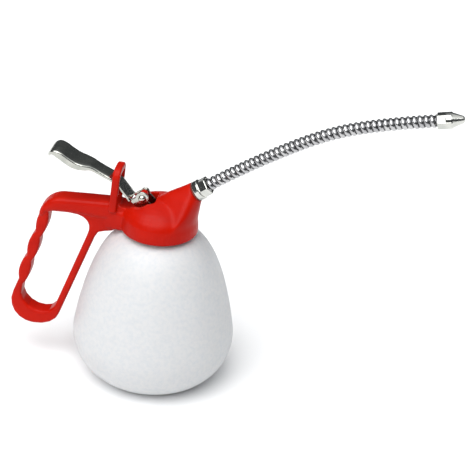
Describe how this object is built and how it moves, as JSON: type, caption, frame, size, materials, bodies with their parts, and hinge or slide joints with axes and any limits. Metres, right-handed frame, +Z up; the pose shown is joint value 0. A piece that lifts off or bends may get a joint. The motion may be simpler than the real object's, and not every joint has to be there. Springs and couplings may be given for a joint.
{
  "type": "hand pump oiler",
  "caption": "Squeeze-lever hand pump oiler: egg-shaped translucent bottle, red pump head with a finger-loop handle, sprung lever and flexible metal spout.",
  "frame": {"origin": "centre of the bottle's flat base, on the surface it stands on", "axes": "+Z up the bottle's axis, +X towards the spout with the handle on the -X side, the object is symmetric about the XZ plane"},
  "size_m": [0.2662, 0.1, 0.2061],
  "materials": {
    "bottle_plastic": "translucent blow-moulded natural polyethylene, softly glossy",
    "red_plastic": "moulded red nylon, semi-gloss",
    "plated_steel": "bright plated pressed steel",
    "spring_steel": "plain steel",
    "hose_steel": "bright spirally wound steel",
    "nickel_fitting": "bright nickel plating",
    "brass": "turned",
    "black_rubber": "matt",
    "white_plastic": "moulded",
    "clear_tube": "extruded, milky",
    "red_fibre": "vulcanised fibre washer"
  },
  "bodies": {
    "bottle": {"bottle": "bottle_plastic"},
    "neck_seal": {"neck_gasket": "black_rubber"},
    "head": {"pump_head": "red_plastic", "lever_pivot_pin": "plated_steel", "pivot_clip": "spring_steel", "rod_guide": "brass", "rod_seal": "black_rubber", "pump_cylinder": "white_plastic", "foot_valve_seat": "white_plastic", "inlet_ball_cage": "white_plastic", "suction_tube": "clear_tube", "suction_strainer": "white_plastic", "spout_washer": "red_fibre", "spout_fitting": "nickel_fitting", "spout_hose_1": "hose_steel", "spout_liner_1": "clear_tube"},
    "lever": {"lever": "plated_steel"},
    "plunger": {"plunger_rod": "spring_steel", "plunger_cross_pin": "spring_steel", "piston": "brass", "piston_seal": "black_rubber", "return_spring": "spring_steel"},
    "piston_ball": {"piston_ball": "spring_steel"},
    "inlet_ball": {"inlet_ball": "spring_steel"},
    "hose_2": {"spout_hose_2": "hose_steel", "spout_liner_2": "clear_tube"},
    "hose_3": {"spout_hose_3": "hose_steel", "spout_liner_3": "clear_tube"},
    "hose_4": {"spout_hose_4": "hose_steel", "spout_liner_4": "clear_tube"},
    "hose_5": {"spout_hose_5": "hose_steel", "spout_liner_5": "clear_tube"},
    "hose_6": {"spout_hose_6": "hose_steel", "spout_liner_6": "clear_tube", "spout_tip": "nickel_fitting"}
  },
  "joints": [
    {"name": "head_lift", "type": "slide", "parent": "bottle", "child": "neck_seal", "axis": [0, 0, 1], "range_m": [0, 0.0045]},
    {"name": "head_turn", "type": "hinge", "parent": "neck_seal", "child": "head", "pos_m": [0, 0, 0.1115], "axis": [0, 0, 1], "range_deg": [0, 540]},
    {"name": "lever_squeeze", "type": "hinge", "parent": "head", "child": "lever", "pos_m": [-0.0108, 0, 0.1228], "axis": [0, -1, 0], "range_deg": [0, 16], "stiffness_Nm_per_rad": 0.4, "springref_deg": -20.05},
    {"name": "plunger_stroke", "type": "slide", "parent": "head", "child": "plunger", "axis": [0, 0, 1], "range_m": [0, 0.0048], "deforming": ["return_spring"]},
    {"name": "piston_ball_lift", "type": "slide", "parent": "plunger", "child": "piston_ball", "axis": [0, 0, 1], "range_m": [0, 0.001]},
    {"name": "inlet_ball_lift", "type": "slide", "parent": "head", "child": "inlet_ball", "axis": [0, 0, 1], "range_m": [0, 0.0015]},
    {"name": "hose_bend_1", "type": "hinge", "parent": "head", "child": "hose_2", "pos_m": [0.04777, 0, 0.15015], "axis": [0, -1, 0], "range_deg": [-15, 15]},
    {"name": "hose_swing_1", "type": "hinge", "parent": "hose_2", "child": "hose_3", "pos_m": [0.06846, 0, 0.16406], "axis": [-0.5408, 0, 0.8412], "range_deg": [-15, 15]},
    {"name": "hose_bend_2", "type": "hinge", "parent": "hose_3", "child": "hose_4", "pos_m": [0.08984, 0, 0.17688], "axis": [0, -1, 0], "range_deg": [-15, 15]},
    {"name": "hose_swing_2", "type": "hinge", "parent": "hose_4", "child": "hose_5", "pos_m": [0.11262, 0, 0.18695], "axis": [-0.3271, 0, 0.945], "range_deg": [-15, 15]},
    {"name": "hose_bend_3", "type": "hinge", "parent": "hose_5", "child": "hose_6", "pos_m": [0.1365, 0, 0.19408], "axis": [0, -1, 0], "range_deg": [-15, 15]}
  ],
  "couplings": [
    {"joint": "head_turn", "follows": "head_lift", "rad_per_m": 2094},
    {"joint": "plunger_stroke", "follows": "lever_squeeze", "m_per_rad": 0.01678}
  ]
}
